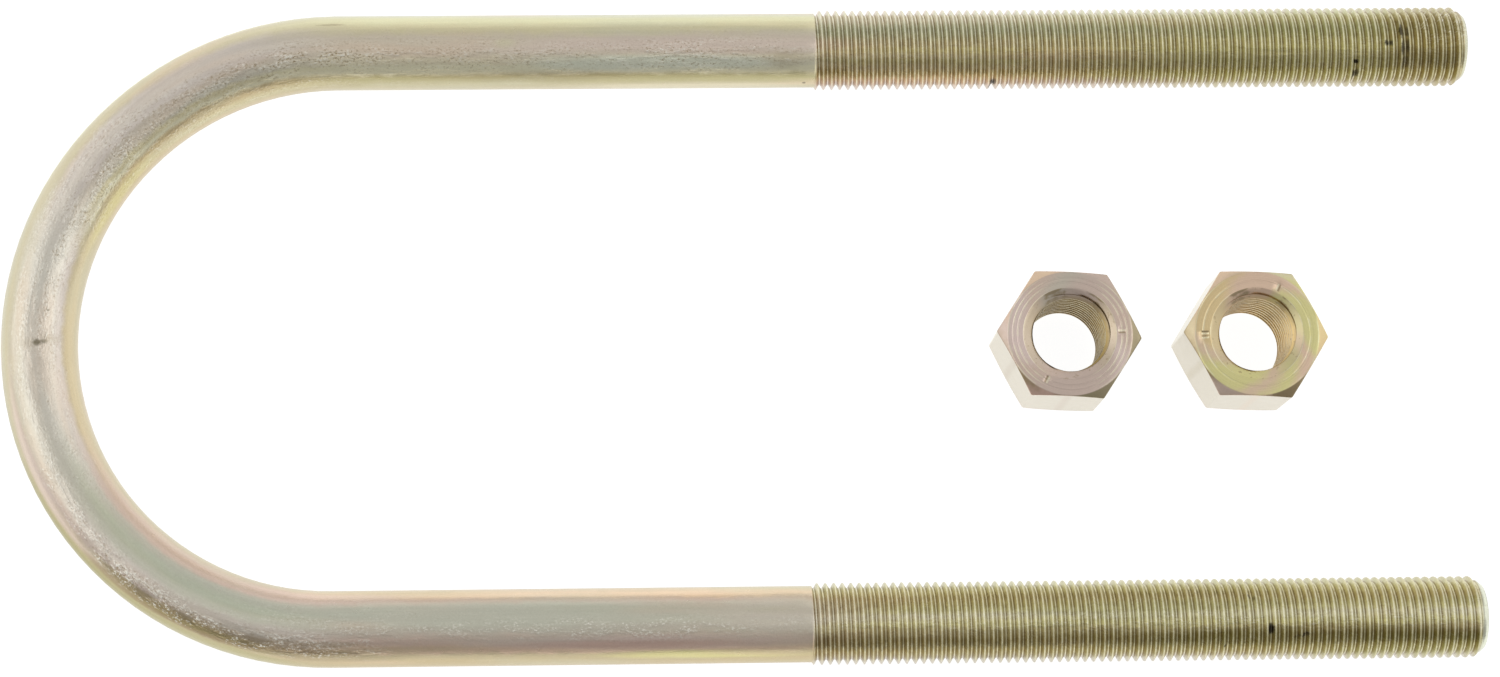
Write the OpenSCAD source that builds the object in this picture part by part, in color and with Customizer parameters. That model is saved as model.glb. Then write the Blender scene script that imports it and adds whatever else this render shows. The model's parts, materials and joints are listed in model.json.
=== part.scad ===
/* [Bend] */
// Distance between the centre lines of the two legs
leg_spacing = 87.2; // [60:0.1:160]
// Diameter of the plain rod, in the bend and up to the threads
rod_d = 11.2; // [9:0.1:11.6]

/* [Legs] */
// Length of the longer leg, from the centre of the bend to its tip
long_leg = 171.1; // [150:0.1:300]
// How much shorter the other leg is cut
leg_difference = 1.8; // [0:0.1:6]
// Length of thread on each leg, from its tip to the end of its run-out
thread_l = 99; // [40:1:140]

/* [Thread] */
// Outer diameter of the thread
thread_d = 12; // [11.8:0.1:14]
// Pitch of the thread, which sets the size of the bore that is left in a nut
thread_pitch = 1.25; // [1:0.05:1.75]
// Length of the cone over which the thread runs out into the plain rod
runout_l = 2; // [0.5:0.1:4]
// Diameter of the flat face at the tip of each leg
tip_d = 9.6; // [6:0.1:11]
// Length of the chamfer behind each flat face
tip_chamfer_l = 1.5; // [0.5:0.1:4]

/* [Nuts] */
// Width of a nut across its flats
across_flats = 18.6; // [17:0.1:24]
// Height of a nut
nut_h = 13.5; // [8:0.5:24]
// How much smaller than the width across flats the round end face is
face_inset = 0.2; // [0.1:0.1:1]
// Slope of the chamfer that takes the corners off, from the end face
nut_chamfer_angle = 30; // [15:1:35]
// How far the mouth of the bore opens outside the thread, on each side
countersink_lip = 0.9; // [0.3:0.1:0.9]
// Slope of each countersink, from the end face
countersink_angle = 30; // [25:1:45]
// How much wider the bore is cut than the basic minor diameter of its thread
bore_allowance = 0.25; // [0:0.05:0.4]

/* [Nuts lying between the legs] */
// Clear gap between the nearest corners of the two nuts
nut_gap = 6.2; // [1:0.1:30]
// How far the pair lies towards the tips from the middle of the longer thread
pair_shift = 1.1; // [-20:0.1:20]
// How far the nut nearer the bend lies off the line midway between the legs
left_nut_y = -1.9; // [-8:0.1:8]
// Turn of the nut nearer the bend
left_nut_turn = -3.3; // [-15:0.1:15]
// How far the nut nearer the tips lies off the line midway between the legs
right_nut_y = -2.1; // [-8:0.1:8]
// Turn of the nut nearer the tips
right_nut_turn = -2.5; // [-15:0.1:15]

/* [Hidden] */
$fn = 96;

// Colours of the passivated zinc
ROD_COLOR = [0.75, 0.71, 0.60];
NUT_COLOR = [0.80, 0.73, 0.55];

// Radial height of the full 60 degree thread form that is left in a nut, in pitches
THREAD_HEIGHT_RATIO = 5 * sqrt(3) / 16;
// How far a cutting shape runs past the face it cuts
CUT_OVER = 1;

bend_r = leg_spacing / 2;
rod_r = rod_d / 2;
thread_r = thread_d / 2;
short_leg = long_leg - leg_difference;

// The rod lies on its threads, and the origin is under the middle of the whole bolt
mid_x = (long_leg - (bend_r + rod_r)) / 2;

nut_corner_r = across_flats / sqrt(3);
nut_face_r = (across_flats - face_inset) / 2;
nut_bore_r = thread_r - THREAD_HEIGHT_RATIO * thread_pitch + bore_allowance / 2;
nut_mouth_r = thread_r + countersink_lip;
nut_half_step = nut_corner_r + nut_gap / 2;
pair_x = long_leg - thread_l / 2 + pair_shift;

// Half profile of a leg as turned: plain rod, run-out, thread, chamfer and end face
module leg_profile(length) {
    polygon([
        [0, 0],
        [rod_r, 0],
        [rod_r, length - thread_l],
        [thread_r, length - thread_l + runout_l],
        [thread_r, length - tip_chamfer_l],
        [tip_d / 2, length],
        [0, length],
    ]);
}

// One straight leg along +X, from the end of the bend to its tip
module leg(length, side) {
    translate([0, side * bend_r, 0])
        rotate([0, 90, 0])
            rotate_extrude() leg_profile(length);
}

// Half ring that joins the two legs, on the -X side
module bend() {
    rotate([0, 0, 90])
        rotate_extrude(angle = 180)
            translate([bend_r, 0]) circle(r = rod_r);
}

// One rod, threaded at both ends and bent round
module u_bolt() {
    color(ROD_COLOR)
        translate([-mid_x, 0, thread_r])
            union() {
                bend();
                leg(long_leg, 1);
                leg(short_leg, -1);
            }
}

// Half profile that takes the corners off both ends of a nut
module nut_chamfer_profile() {
    out_r = nut_corner_r + CUT_OVER;
    drop = (out_r - nut_face_r) * tan(nut_chamfer_angle);
    polygon([
        [0, 0],
        [nut_face_r, 0],
        [out_r, drop],
        [out_r, nut_h - drop],
        [nut_face_r, nut_h],
        [0, nut_h],
    ]);
}

// Half profile of the bore, with a countersink at each mouth
module nut_bore_profile() {
    slope = tan(countersink_angle);
    sink = (nut_mouth_r - nut_bore_r) * slope;
    out_r = nut_mouth_r + CUT_OVER / slope;
    polygon([
        [0, -CUT_OVER],
        [out_r, -CUT_OVER],
        [nut_bore_r, sink],
        [nut_bore_r, nut_h - sink],
        [out_r, nut_h + CUT_OVER],
        [0, nut_h + CUT_OVER],
    ]);
}

// Tall hexagon nut, standing on one end face
module hex_nut() {
    difference() {
        intersection() {
            cylinder(h = nut_h, r = nut_corner_r, $fn = 6);
            rotate_extrude() nut_chamfer_profile();
        }
        rotate_extrude() nut_bore_profile();
    }
}

// A nut laid down beside the rod, on the same surface
module laid_nut(along, off_line, turn) {
    translate([along - mid_x, off_line, 0])
        rotate([0, 0, turn])
            hex_nut();
}

module left_nut() {
    color(NUT_COLOR) laid_nut(pair_x - nut_half_step, left_nut_y, left_nut_turn);
}

module right_nut() {
    color(NUT_COLOR) laid_nut(pair_x + nut_half_step, right_nut_y, right_nut_turn);
}

u_bolt();
left_nut();
right_nut();
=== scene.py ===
"""Looks of a bent threaded bolt and its two loose hexagon nuts, in yellow passivated zinc."""

import json
import logging
import math
from dataclasses import dataclass
from enum import Enum
from typing import Callable

import bpy
import numpy as np
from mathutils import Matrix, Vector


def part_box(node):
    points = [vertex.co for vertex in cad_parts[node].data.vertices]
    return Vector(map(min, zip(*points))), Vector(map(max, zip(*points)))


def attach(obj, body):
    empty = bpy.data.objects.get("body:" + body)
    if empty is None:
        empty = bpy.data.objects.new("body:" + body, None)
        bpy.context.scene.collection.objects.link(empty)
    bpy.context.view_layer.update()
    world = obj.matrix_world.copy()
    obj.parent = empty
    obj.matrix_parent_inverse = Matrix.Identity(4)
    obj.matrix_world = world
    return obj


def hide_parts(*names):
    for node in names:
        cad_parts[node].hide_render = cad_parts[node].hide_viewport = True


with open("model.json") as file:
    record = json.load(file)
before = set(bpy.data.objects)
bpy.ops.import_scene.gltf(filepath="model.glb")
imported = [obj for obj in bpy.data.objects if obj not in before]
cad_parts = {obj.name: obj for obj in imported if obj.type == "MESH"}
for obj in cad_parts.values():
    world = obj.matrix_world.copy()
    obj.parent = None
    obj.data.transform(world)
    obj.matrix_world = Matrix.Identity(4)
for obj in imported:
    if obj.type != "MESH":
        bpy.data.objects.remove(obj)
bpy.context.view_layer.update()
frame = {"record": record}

LOG = logging.getLogger("u_bolt")
MM = 0.001
TURN = 2 * math.pi

# Vertices closer than this are one vertex
WELD = 1e-6


class Tint(Enum):
    """Linear colours of the zinc under a passivated film of one thickness or another; some of them also
    serve as painted highlights and painted shade.
    """

    PALE_LEMON = (0.66, 0.66, 0.50)
    LEMON = (0.71, 0.69, 0.45)
    LIME = (0.70, 0.65, 0.31)
    OLIVE = (0.71, 0.65, 0.42)
    DULL_OLIVE = (0.57, 0.53, 0.35)
    STRAW = (0.60, 0.54, 0.37)
    PALE_STRAW = (0.78, 0.71, 0.52)
    GOLD = (0.74, 0.58, 0.32)
    PEACH = (0.72, 0.56, 0.40)
    APRICOT = (0.84, 0.64, 0.46)
    TAN = (0.64, 0.54, 0.35)
    SAND = (0.58, 0.48, 0.29)
    ROSE = (0.74, 0.55, 0.41)
    PALE_ROSE = (0.75, 0.61, 0.55)
    MAUVE = (0.66, 0.52, 0.43)
    PINK_GREY = (0.70, 0.62, 0.49)
    DIM_ROSE = (0.61, 0.49, 0.42)
    LILAC = (0.70, 0.63, 0.56)
    SILVER = (0.72, 0.68, 0.59)
    ASH = (0.58, 0.52, 0.43)
    GREEN_GREY = (0.65, 0.61, 0.50)
    SEA = (0.56, 0.61, 0.50)
    CREAM = (0.71, 0.66, 0.55)
    GILT = (0.70, 0.62, 0.44)
    BRASS = (0.61, 0.55, 0.38)
    CORN = (0.72, 0.65, 0.42)
    UMBER = (0.53, 0.45, 0.29)
    MOSS = (0.39, 0.33, 0.21)
    BARK = (0.34, 0.26, 0.15)
    PALE_LILAC = (0.76, 0.69, 0.60)
    KHAKI = (0.50, 0.46, 0.26)
    FROSTED_SAGE = (0.65, 0.64, 0.52)
    SAGE = (0.60, 0.61, 0.46)
    PALE_SEA = (0.76, 0.79, 0.65)
    VERDANT = (0.56, 0.55, 0.27)
    GLEAM = (0.83, 0.79, 0.57)
    BLUSH = (0.66, 0.46, 0.38)
    FROST = (0.87, 0.84, 0.74)
    TOBACCO = (0.48, 0.39, 0.20)
    PEAT = (0.36, 0.32, 0.12)
    RUSSET = (0.38, 0.27, 0.09)
    AMBER = (0.70, 0.51, 0.23)
    PITCH = (0.14, 0.12, 0.07)
    SOOT = (0.06, 0.05, 0.035)

    @property
    def rgba(self) -> tuple[float, float, float, float]:
        """Colour with full opacity."""
        return (*self.value, 1.0)


# Detail of the finer random fields
FINE = 3.0


@dataclass(frozen=True)
class Coat:
    """Tint that is laid over a share of the metal.

    Args:
        share: how much of the metal it hides.
        tint: its tint.
    """

    share: float
    tint: Tint


# Tints in a row, each with its place
Bands = tuple[tuple[float, Tint], ...]

# Lines of a tool: radius, half width and depth of each
Lines = tuple[tuple[float, float, float], ...]

# What a new node's inputs are fed, by their names or numbers
Inputs = dict[str | int, object]


@dataclass(frozen=True)
class Value:
    """One socket of a node tree that takes Python's own operators.

    Args:
        graph: the tree that the socket is in.
        socket: the output that holds the number, vector or colour.
    """

    graph: "Graph"
    socket: bpy.types.NodeSocket

    def __add__(self, other: "Number") -> "Value":
        """Sum."""
        return self.graph.math("ADD", self, other)

    def __radd__(self, other: "Number") -> "Value":
        """Sum with a plain number in front."""
        return self.graph.math("ADD", other, self)

    def __sub__(self, other: "Number") -> "Value":
        """Difference."""
        return self.graph.math("SUBTRACT", self, other)

    def __rsub__(self, other: "Number") -> "Value":
        """Difference with a plain number in front."""
        return self.graph.math("SUBTRACT", other, self)

    def __mul__(self, other: "Number") -> "Value":
        """Product."""
        return self.graph.math("MULTIPLY", self, other)

    def __rmul__(self, other: "Number") -> "Value":
        """Product with a plain number in front."""
        return self.graph.math("MULTIPLY", other, self)

    def __truediv__(self, other: "Number") -> "Value":
        """Quotient."""
        return self.graph.math("DIVIDE", self, other)

    def __abs__(self) -> "Value":
        """Size without its sign."""
        return self.graph.math("ABSOLUTE", self)

    def smooth(self, start: "Number", end: "Number") -> "Value":
        """Soft step that is 0 at the start and 1 at the end, whichever is the higher."""
        inputs = {"Value": self, "From Min": start, "From Max": end}
        return self.graph.value("ShaderNodeMapRange", inputs, interpolation_type="SMOOTHSTEP")


Number = float | Value


class Graph:
    """A node tree, of a material or of geometry, that is filled by plain calls.

    Args:
        tree: the empty tree to fill.
    """

    def __init__(self, tree: bpy.types.NodeTree) -> None:
        """Keeps the tree and forgets the nodes that it came with."""
        self.tree = tree
        self.tree.nodes.clear()

    def feed(self, socket: bpy.types.NodeSocket, value: object) -> None:
        """Links a value to a socket, or sets the socket.

        Args:
            socket: the input to fill.
            value: a Value, a Tint, or a plain number, vector, name or material.
        """
        if isinstance(value, Value):
            self.tree.links.new(value.socket, socket)
        else:
            socket.default_value = value.rgba if isinstance(value, Tint) else value

    def node(self, kind: str, inputs: Inputs | None = None, **settings: object) -> bpy.types.Node:
        """Adds a node.

        Args:
            kind: Blender's name of the node's type.
            inputs: what each named or numbered input is fed.
            settings: the node's own properties.

        Returns:
            The new node.
        """
        made = self.tree.nodes.new(kind)
        for name, setting in settings.items():
            setattr(made, name, setting)
        for name, value in (inputs or {}).items():
            self.feed(made.inputs[name], value)
        return made

    def value(self, kind: str, inputs: Inputs | None = None, output: str | int = 0,
              **settings: object) -> Value:
        """Adds a node and takes one of its outputs, by its name or number."""
        return Value(self, self.node(kind, inputs, **settings).outputs[output])

    def math(self, operation: str, *values: Number) -> Value:
        """One step of arithmetic, by Blender's name of it, on one, two or three numbers."""
        return self.value("ShaderNodeMath", dict(enumerate(values)), operation=operation)

    def clamp(self, number: Value, low: Number, high: Number) -> Value:
        """Number kept between two bounds."""
        return self.math("MINIMUM", self.math("MAXIMUM", number, low), high)

    def vector(self, x: Number, y: Number, z: Number) -> Value:
        """Vector of three numbers."""
        return self.value("ShaderNodeCombineXYZ", {0: x, 1: y, 2: z})

    def parts(self, vector: Value) -> tuple[Value, Value, Value]:
        """The three numbers of a vector."""
        made = self.node("ShaderNodeSeparateXYZ", {0: vector})
        return tuple(Value(self, socket) for socket in made.outputs)


class GeometryGraph(Graph):
    """A Geometry Nodes tree with named inputs.

    Args:
        name: the tree's name.
    """

    def __init__(self, name: str) -> None:
        """Makes the tree with one geometry input and one geometry output."""
        super().__init__(bpy.data.node_groups.new(name, "GeometryNodeTree"))
        for way in ("INPUT", "OUTPUT"):
            self.socket("Geometry", way, "NodeSocketGeometry")
        self.start = self.node("NodeGroupInput")
        self.settings: dict[str, float] = {}

    def socket(self, name: str, way: str, kind: str) -> bpy.types.NodeTreeInterfaceSocket:
        """Adds a named socket to the tree itself, an INPUT or an OUTPUT."""
        return self.tree.interface.new_socket(name=name, in_out=way, socket_type=kind)

    def size(self, name: str, value: float) -> Value:
        """Adds a named input for a size.

        Args:
            name: the input's name.
            value: the number that the modifier will hold.

        Returns:
            The input as a value.
        """
        made = self.socket(name, "INPUT", "NodeSocketFloat")
        self.settings[made.identifier] = value
        return Value(self, self.start.outputs[name])

    def pick(self, choice: Value, values: tuple[float, ...]) -> Value:
        """Entry of a short list.

        Args:
            choice: place in the list, from 0.
            values: the list.

        Returns:
            The entry at that place.
        """
        made = self.node("GeometryNodeIndexSwitch", data_type="FLOAT")
        while len(made.index_switch_items) < len(values):
            made.index_switch_items.new()
        self.feed(made.inputs[0], choice)
        for socket, value in zip(made.inputs[1:], values):
            socket.default_value = value
        return Value(self, made.outputs[0])

    def grid(self, columns: Number, points: Number) -> tuple[Value, Value, Value]:
        """Flat grid whose vertices are placed later.

        Args:
            columns: vertices one way.
            points: vertices the other way.

        Returns:
            The mesh, and each vertex's column and point, counted from 0.
        """
        mesh = self.value("GeometryNodeMeshGrid", {"Vertices X": columns, "Vertices Y": points})
        index = self.value("GeometryNodeInputIndex")
        column = self.math("FLOOR", (index + 0.5) / points)
        return mesh, column, index - column * points

    def place(self, mesh: Value, position: Value, label: str, note: Value) -> Value:
        """Moves each vertex to its place and keeps a note of it on the corners.

        Args:
            mesh: the mesh to move.
            position: where each vertex goes.
            label: name of the attribute.
            note: vector that the attribute holds.

        Returns:
            The mesh in place.
        """
        kept = self.node("GeometryNodeCaptureAttribute", {"Geometry": mesh}, domain="POINT")
        kept.capture_items.new("VECTOR", label)
        self.feed(kept.inputs[label], note)
        moved = self.value("GeometryNodeSetPosition",
                           {"Geometry": Value(self, kept.outputs["Geometry"]), "Position": position})
        return self.value("GeometryNodeStoreNamedAttribute",
                          {"Geometry": moved, "Name": label, "Value": Value(self, kept.outputs[label])},
                          data_type="FLOAT_VECTOR", domain="CORNER")

    def join(self, *meshes: Value) -> Value:
        """Joins meshes and welds what meets.

        Args:
            meshes: the meshes, in any order.

        Returns:
            The whole mesh.
        """
        joined = self.node("GeometryNodeJoinGeometry")
        for mesh in meshes:
            self.tree.links.new(mesh.socket, joined.inputs[0])
        return self.value("GeometryNodeMergeByDistance",
                          {"Geometry": Value(self, joined.outputs[0]), "Distance": WELD})

    def flip(self, mesh: Value) -> Value:
        """Turns the faces of a mesh over."""
        return self.value("GeometryNodeFlipFaces", {0: mesh})

    def finish(self, mesh: Value, material: bpy.types.Material) -> None:
        """Ends the tree: real geometry, smooth, with its material.

        Args:
            mesh: the finished geometry.
            material: what it is made of.
        """
        real = self.value("GeometryNodeRealizeInstances", {0: mesh})
        soft = self.value("GeometryNodeSetShadeSmooth", {0: real})
        dressed = self.value("GeometryNodeSetMaterial", {"Geometry": soft, "Material": material})
        self.node("NodeGroupOutput", {0: dressed})
        self.material = material

    def grow(self, piece: bpy.types.Object) -> None:
        """Runs the tree on a piece and leaves the result as the piece's own plain mesh.

        Args:
            piece: the object that takes the shape.
        """
        modifier = piece.modifiers.new(self.tree.name, "NODES")
        modifier.node_group = self.tree
        for identifier, value in self.settings.items():
            modifier[identifier] = value
        now = bpy.context.evaluated_depsgraph_get()
        grown = bpy.data.meshes.new_from_object(
            piece.evaluated_get(now), preserve_all_data_layers=True, depsgraph=now)
        piece.modifiers.clear()
        piece.data = grown
        grown.name = piece.name
        grown.materials.clear()
        grown.materials.append(self.material)


@dataclass(frozen=True)
class ThreadForm:
    """Half of a thread's profile, from the middle of one land to the middle of the next.

    Args:
        offsets: distance along the axis of each point, in pitches, from 0 to a half.
        heights: distance from the axis of each point, in pitches, from the first land's own radius.
    """

    offsets: tuple[float, ...]
    heights: tuple[float, ...]

    # Turns that a strip starts early, so that every flank of its first pitch is there
    EARLY = 2

    @property
    def points(self) -> int:
        """Points in one whole pitch, both ends included."""
        return 2 * len(self.offsets) - 1

    def strip(self, graph: GeometryGraph, pitch: Value, length: Value, phase: Value, segments: int,
              bunch: Callable[[Value], Value] | None = None) -> tuple[Value, Value, Value, Value]:
        """Adds the nodes of one helical strip that winds right-handed round an axis.

        Args:
            graph: the tree.
            pitch: advance in one turn.
            length: stretch of the axis to cover, from 0.
            phase: place of a crest at angle 0, in pitches.
            segments: steps round one turn.
            bunch: moves the steps of one turn together where the shape needs them.

        Returns:
            The flat mesh, and for each vertex its place along the axis, its angle in turns
            and its height over the first land.
        """
        turns = graph.math("CEIL", length / pitch) + (self.EARLY + 1)
        mesh, column, point = graph.grid(turns * segments + 1, self.points)
        turn = column / segments - self.EARLY
        turn = bunch(turn) if bunch else turn
        middle = point - (len(self.offsets) - 1)
        rank = abs(middle)
        side = graph.math("SIGN", middle)
        along = pitch * (turn + phase + side * graph.pick(rank, self.offsets))
        along = graph.clamp(along, 0.0, length)
        return mesh, along, turn, pitch * graph.pick(rank, self.heights)


# Rolled outer thread: narrow crest and root, 60 degree flanks, softened at the corners
OUTER_THREAD = ThreadForm(
    offsets=(0.0, 0.044, 0.080, 0.108, 0.364, 0.416, 0.5),
    heights=(0.0, -0.002, -0.028, -0.076, -0.519, -0.588, -0.612),
)

# Cut inner thread, from the land at the bore out to the root
INNER_THREAD = ThreadForm(
    offsets=(0.0, 0.150, 0.178, 0.205, 0.420, 0.450, 0.5),
    heights=(0.0, 0.0, 0.012, 0.050, 0.425, 0.460, 0.465),
)


class Surface(Graph):
    """A metal finish: its node tree and what every finish here needs.

    Args:
        name: the material's name.
    """

    # Numbers of a Mix node's sockets for colours, which share their names with others
    SHARE = 0
    UNDER = 6
    OVER = 7
    MIXED = 2

    def __init__(self, name: str) -> None:
        """Makes the material with an empty tree, before its first coat."""
        self.material = bpy.data.materials.new(name)
        self.material.use_nodes = True
        super().__init__(self.material.node_tree)
        self.colour: Value | None = None

    def noise(self, place: Value, scale: float, detail: float = 2.0, rough: float = 0.5) -> Value:
        """Soft random field about 0.5, of so many lumps in a metre."""
        inputs = {"Vector": place, "Scale": scale, "Detail": detail, "Roughness": rough}
        return self.value("ShaderNodeTexNoise", inputs, "Fac")

    def ramp(self, number: Value, stops: Bands) -> Value:
        """Colour that runs through tints.

        Args:
            number: place on the ramp, from 0 to 1.
            stops: each tint and its place.

        Returns:
            The colour.
        """
        made = self.node("ShaderNodeValToRGB", {0: number})
        made.color_ramp.interpolation = "EASE"
        elements = made.color_ramp.elements
        while len(elements) < len(stops):
            elements.new(1.0)
        for element, (place, tint) in zip(elements, stops):
            element.position = place
            element.color = tint.rgba
        return Value(self, made.outputs[0])

    def mix(self, share: Number, under: object, over: object) -> Value:
        """Colour that lets this share of the upper one show over the lower one."""
        inputs = {self.SHARE: share, self.UNDER: under, self.OVER: over}
        return self.value("ShaderNodeMix", inputs, self.MIXED, data_type="RGBA", clamp_factor=True)

    def cover(self, share: Value, colour: object) -> None:
        """Lets a tint or a colour hide a share of what is there."""
        self.colour = self.mix(share, self.colour, colour)

    def lay(self, where: Value, coat: Coat) -> None:
        """Lays a coat where it belongs."""
        self.cover(where * coat.share, coat.tint)

    def shift(self, amount: Value) -> None:
        """Adds a share of its own brightness to the colour, or takes it off."""
        inputs = {0: self.colour, "Scale": amount + 1.0}
        self.colour = self.value("ShaderNodeVectorMath", inputs, operation="SCALE")

    def shade(self, roughness: Value, bumps: tuple[tuple[Value, float], ...]) -> None:
        """Ends the tree with a metal shader.

        Args:
            roughness: roughness.
            bumps: each relief field with its depth in metres, the first one lowest.
        """
        inputs = {"Base Color": self.colour, "Metallic": 1.0, "Roughness": roughness}
        for height, depth in bumps:
            relief = {"Height": height, "Distance": depth, "Strength": 1.0}
            if "Normal" in inputs:
                relief["Normal"] = inputs["Normal"]
            inputs["Normal"] = self.value("ShaderNodeBump", relief)
        self.node("ShaderNodeOutputMaterial", {0: self.value("ShaderNodeBsdfPrincipled", inputs)})


# Attribute of the rod: metres along it from the middle of the bend, turns round it from its
# outer side, and height over the crest of the thread, in pitches
ROD_PATH = "rod_path"

# Attribute of the bore of a nut: metres up its axis, turns round it and distance from it
BORE_PATH = "bore_path"


@dataclass(frozen=True)
class RodPlace:
    """Place on the rod of the point that is shaded.

    Args:
        surface: the tree.
        along: metres along the rod, from the middle of the bend.
        around: turns round it, from its outer side.
        height: height over the crests of the thread, in pitches.
        across: distance from its axis, outwards.
        up: distance from its axis, upwards.
    """

    surface: Surface
    along: Value
    around: Value
    height: Value
    across: Value
    up: Value

    @classmethod
    def read(cls, surface: Surface, radius: float) -> "RodPlace":
        """Reads the path attribute of the rod.

        Args:
            surface: the tree.
            radius: the rod's radius.

        Returns:
            The place.
        """
        path = surface.value("ShaderNodeAttribute", output="Vector", attribute_name=ROD_PATH)
        along, around, height = surface.parts(path)
        angle = around * TURN
        return cls(surface, along, surface.math("FRACT", around), height,
                   surface.math("COSINE", angle) * radius, surface.math("SINE", angle) * radius)

    @property
    def folded(self) -> Value:
        """Place round the rod, from 0 on its outer side to 1 on its inner side."""
        return self.surface.math("PINGPONG", self.around, 0.5) * 2.0

    def noise(self, scale: float, detail: float = 2.0, rough: float = 0.5,
              stretch: float = 1.0) -> Value:
        """Random field on the rod, with so many lumps along it for each one round it."""
        place = self.surface.vector(self.along * stretch, self.across, self.up)
        return self.surface.noise(place, scale, detail, rough)


@dataclass(frozen=True)
class Spot:
    """A place on the rod with a reach of its own.

    Args:
        along: its place along the rod, in millimetres from the middle of the bend.
        around: its place round the rod, in turns from the outer side.
        length: how far it reaches along the rod, each way, in millimetres.
        width: how far it reaches round the rod, each way, in millimetres.
    """

    along: float
    around: float
    length: float
    width: float

    def reach(self, here: RodPlace, radius: float) -> Value:
        """Distance from the middle of the spot.

        Args:
            here: the place that is shaded.
            radius: the rod's radius.

        Returns:
            The distance, which is 1 where the spot ends.
        """
        x = (here.along - self.along * MM) / (self.length * MM)
        y = (here.around - self.around) * (TURN * radius) / (self.width * MM)
        return here.surface.math("SQRT", x * x + y * y)


@dataclass(frozen=True)
class Stain(Spot):
    """Spot of another tint.

    Args:
        tint: its tint.
        share: how much of the metal it hides.
        blur: how softly it ends.
    """

    tint: Tint
    share: float
    blur: float = 0.6

    @property
    def coat(self) -> Coat:
        """What it lays over the metal."""
        return Coat(self.share, self.tint)


@dataclass(frozen=True)
class Grit(Spot):
    """Spot where the zinc grew in crystals, some dark, and some bright, with glints painted into the
    colour.

    Args:
        light: how strongly the painted glints of the bright crystals show.
        dark: how strongly the dark ones show.
    """

    light: float
    dark: float


@dataclass(frozen=True)
class Zone:
    """Stretch of the rod with its own bands of the film.

    Args:
        start: place along the rod where it starts to show.
        full: place from which it hides the bands under it.
        bands: tints round the rod, from its outer side at 0 to its inner side at 1: the film's own
            colours, with painted highlights and painted shade among them.
    """

    start: float
    full: float
    bands: Bands


# Tints round the rod in the middle of the bend; like the others below, they mix the film's colours with
# painted highlights and painted shade
APEX_BANDS = (
    (0.08, Tint.STRAW), (0.22, Tint.STRAW), (0.34, Tint.GREEN_GREY), (0.44, Tint.SILVER),
    (0.62, Tint.SILVER), (0.72, Tint.LILAC), (0.81, Tint.TAN), (1.00, Tint.STRAW),
)
# On the plain stretches, from the bend to the legs
UPPER_BEND_BANDS = (
    (0.15, Tint.LEMON), (0.21, Tint.BRASS), (0.29, Tint.BRASS), (0.37, Tint.LILAC),
    (0.47, Tint.PALE_LILAC), (0.53, Tint.LILAC), (0.58, Tint.ASH), (0.65, Tint.GREEN_GREY),
    (0.71, Tint.CORN), (0.76, Tint.GLEAM), (0.82, Tint.SAND), (0.90, Tint.SAND), (1.00, Tint.TAN),
)
LONG_SIDE_BANDS = (
    (0.14, Tint.PALE_LEMON), (0.25, Tint.LEMON), (0.35, Tint.OLIVE), (0.45, Tint.PINK_GREY),
    (0.57, Tint.PINK_GREY), (0.64, Tint.PALE_STRAW), (0.71, Tint.GLEAM), (0.77, Tint.GLEAM),
    (0.83, Tint.KHAKI), (1.00, Tint.STRAW),
)
LOWER_BEND_BANDS = (
    (0.04, Tint.KHAKI), (0.14, Tint.KHAKI), (0.24, Tint.UMBER), (0.30, Tint.DIM_ROSE),
    (0.37, Tint.PALE_LILAC), (0.42, Tint.LILAC), (0.50, Tint.FROSTED_SAGE), (0.58, Tint.SAGE),
    (0.65, Tint.GREEN_GREY), (0.71, Tint.MAUVE), (0.80, Tint.MAUVE), (0.92, Tint.STRAW),
)
SHORT_SIDE_BANDS = (
    (0.03, Tint.SAND), (0.14, Tint.SAND), (0.22, Tint.UMBER), (0.28, Tint.ROSE), (0.36, Tint.MAUVE),
    (0.45, Tint.ASH), (0.53, Tint.GREEN_GREY), (0.64, Tint.GREEN_GREY), (0.72, Tint.MAUVE),
    (0.79, Tint.APRICOT), (0.95, Tint.STRAW),
)
# On the threads
LONG_THREAD_BANDS = (
    (0.10, Tint.PALE_LILAC), (0.19, Tint.PALE_LEMON), (0.27, Tint.CREAM), (0.40, Tint.SAGE),
    (0.52, Tint.BRASS), (0.58, Tint.OLIVE), (0.64, Tint.PALE_STRAW), (0.69, Tint.OLIVE),
    (0.75, Tint.GILT), (0.81, Tint.TOBACCO), (0.89, Tint.UMBER), (0.95, Tint.DIM_ROSE),
    (1.00, Tint.MAUVE),
)
SHORT_THREAD_BANDS = (
    (0.06, Tint.ASH), (0.14, Tint.UMBER), (0.21, Tint.TOBACCO), (0.25, Tint.MOSS), (0.33, Tint.TOBACCO),
    (0.39, Tint.GILT), (0.45, Tint.GLEAM), (0.52, Tint.FROST), (0.58, Tint.GLEAM), (0.64, Tint.CORN),
    (0.70, Tint.TAN), (0.77, Tint.OLIVE), (0.88, Tint.DULL_OLIVE),
)

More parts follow.
